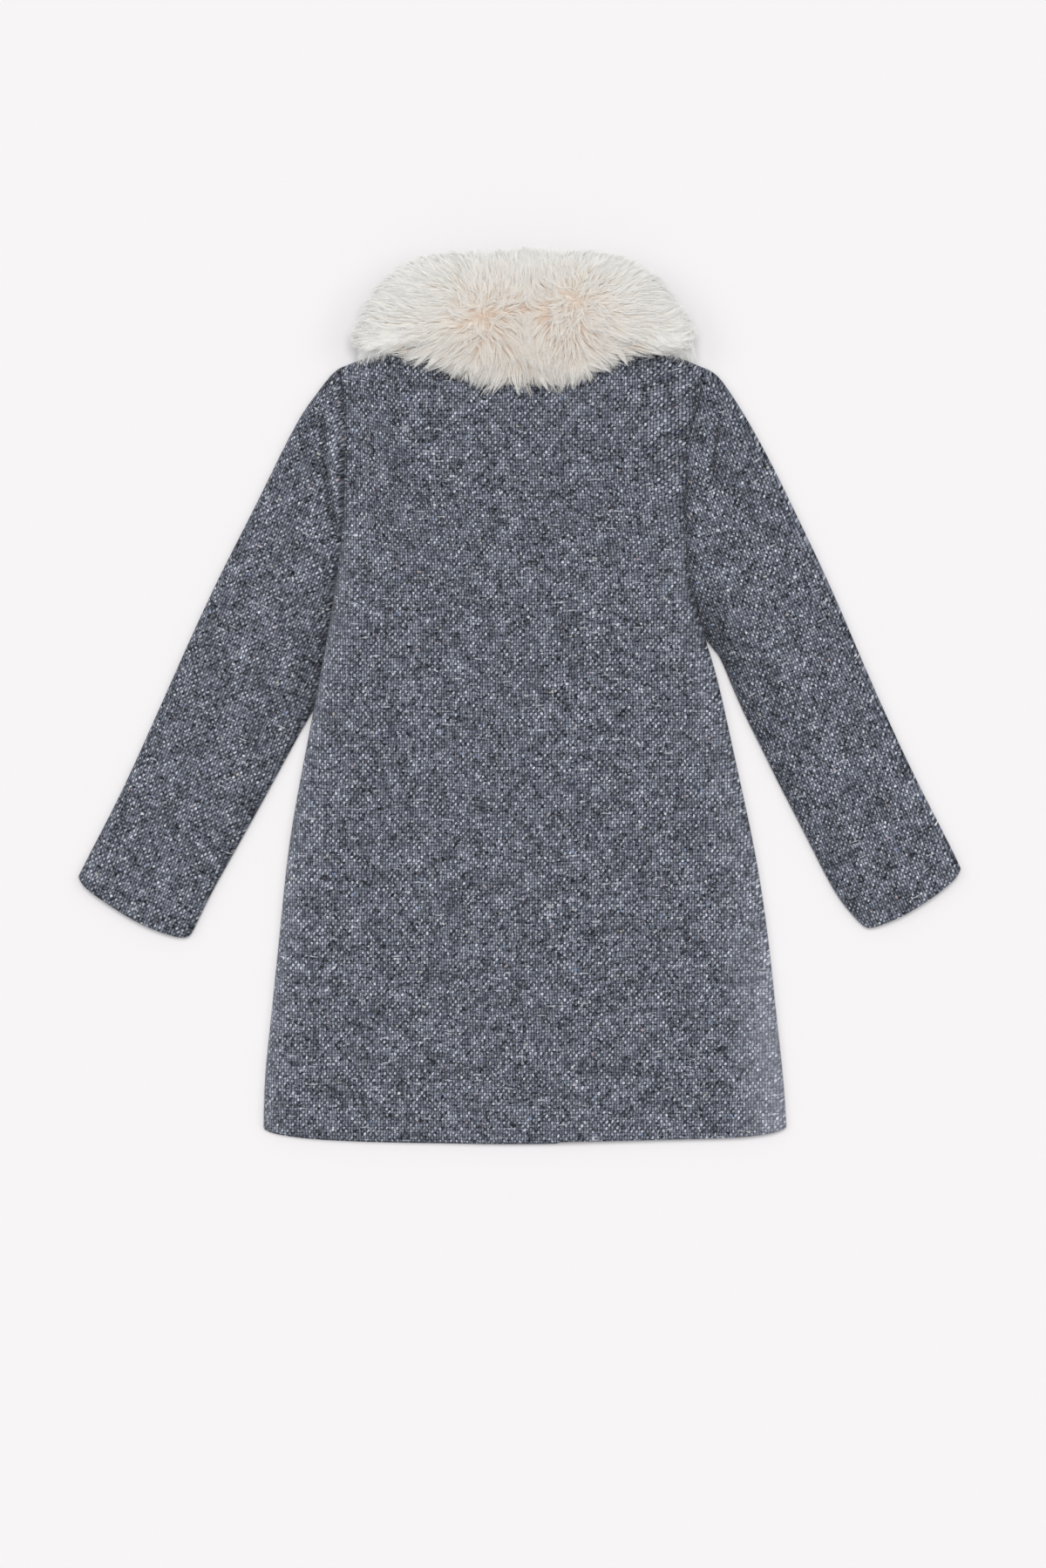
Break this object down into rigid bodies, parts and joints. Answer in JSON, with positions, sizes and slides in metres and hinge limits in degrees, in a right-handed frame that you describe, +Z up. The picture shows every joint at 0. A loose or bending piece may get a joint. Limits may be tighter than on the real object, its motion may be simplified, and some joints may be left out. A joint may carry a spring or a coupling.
{
  "type": "child's wool coat with fur collar",
  "caption": "Child's A-line tweed coat with long set-in sleeves and a turn-down fur collar, laid flat face down.",
  "frame": {"origin": "middle of the coat's outline, on the surface it lies on", "axes": "+Z up out of the back of the coat, +Y from the hem to the collar, +X to the right of someone who looks down on the back"},
  "size_m": [0.7574, 0.7658, 0.0562],
  "materials": {
    "tweed": "matt wool hopsack, grey blue with light and coloured flecks",
    "fur": "soft long-pile imitation fur, cream",
    "button": "satin"
  },
  "bodies": {
    "root": {"back": "tweed", "front_left": "tweed", "front_right": "tweed", "sleeve_left": "tweed", "sleeve_right": "tweed", "fur_collar": "fur", "button_1": "button", "button_2": "button", "button_3": "button", "button_4": "button"}
  },
  "joints": []
}
